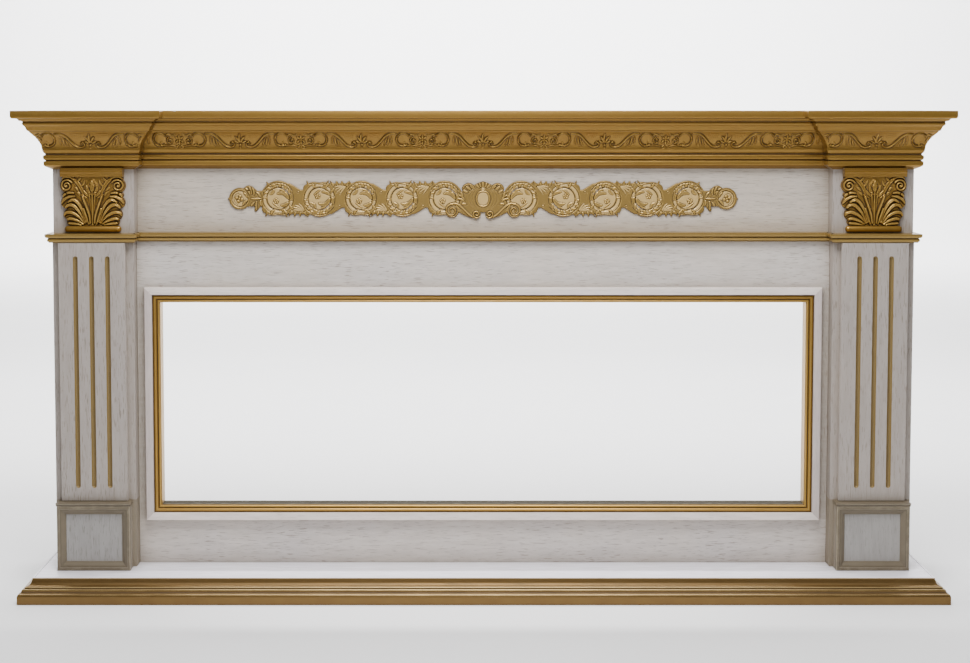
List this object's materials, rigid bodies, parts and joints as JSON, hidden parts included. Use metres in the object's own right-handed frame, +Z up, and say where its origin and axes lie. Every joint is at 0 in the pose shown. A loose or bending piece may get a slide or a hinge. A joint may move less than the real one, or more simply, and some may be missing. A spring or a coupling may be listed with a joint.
{
  "type": "fireplace mantelpiece",
  "caption": "Wide white and antique gold wooden mantelpiece with fluted pilasters, carved capitals, a carved frieze and a long rectangular fire opening.",
  "frame": {"origin": "middle of the footprint on the floor", "axes": "+X to the right as seen from the front, +Y back to the wall, +Z up"},
  "size_m": [1.96, 0.345, 1.024],
  "materials": {
    "white_patina": "off-white paint over open-grained wood, with a warm grey patina wiped into the pores",
    "antique_gold": "carved and moulded wood under antique gold paint, with a dark patina in the hollows",
    "beige_patina": "champagne beige paint on moulded wood, satin, with a grey-brown patina"
  },
  "bodies": {
    "root": {"base_top_board": "white_patina", "base_moulding_front": "antique_gold", "base_moulding_left": "antique_gold", "base_moulding_right": "antique_gold", "side_panel_left": "white_patina", "side_panel_right": "white_patina", "frieze_panel": "white_patina", "lower_panel": "white_patina", "opening_frame_top": "antique_gold", "opening_frame_right": "antique_gold", "opening_frame_bottom": "antique_gold", "opening_frame_left": "antique_gold", "pilaster_body_left": "white_patina", "pilaster_body_right": "white_patina", "frieze_block_left": "white_patina", "frieze_block_right": "white_patina", "fluted_board_left": "white_patina", "fluted_board_right": "white_patina", "plinth_block_left": "white_patina", "plinth_block_right": "white_patina", "plinth_cap_left": "beige_patina", "plinth_cap_right": "beige_patina", "plinth_rail_top_left": "beige_patina", "plinth_rail_bottom_left": "beige_patina", "plinth_rail_left_left": "beige_patina", "plinth_rail_right_left": "beige_patina", "plinth_rail_top_right": "beige_patina", "plinth_rail_bottom_right": "beige_patina", "plinth_rail_left_right": "beige_patina", "plinth_rail_right_right": "beige_patina", "capital_left": "antique_gold", "capital_right": "antique_gold", "architrave_centre": "antique_gold", "architrave_front_left": "antique_gold", "architrave_front_right": "antique_gold", "architrave_return_left": "antique_gold", "architrave_return_right": "antique_gold", "architrave_side_left": "antique_gold", "architrave_side_right": "antique_gold", "cornice_centre": "antique_gold", "cornice_front_left": "antique_gold", "cornice_front_right": "antique_gold", "cornice_return_left": "antique_gold", "cornice_return_right": "antique_gold", "cornice_side_left": "antique_gold", "cornice_side_right": "antique_gold", "mantel_board": "white_patina", "frieze_ornament": "antique_gold"}
  },
  "joints": []
}
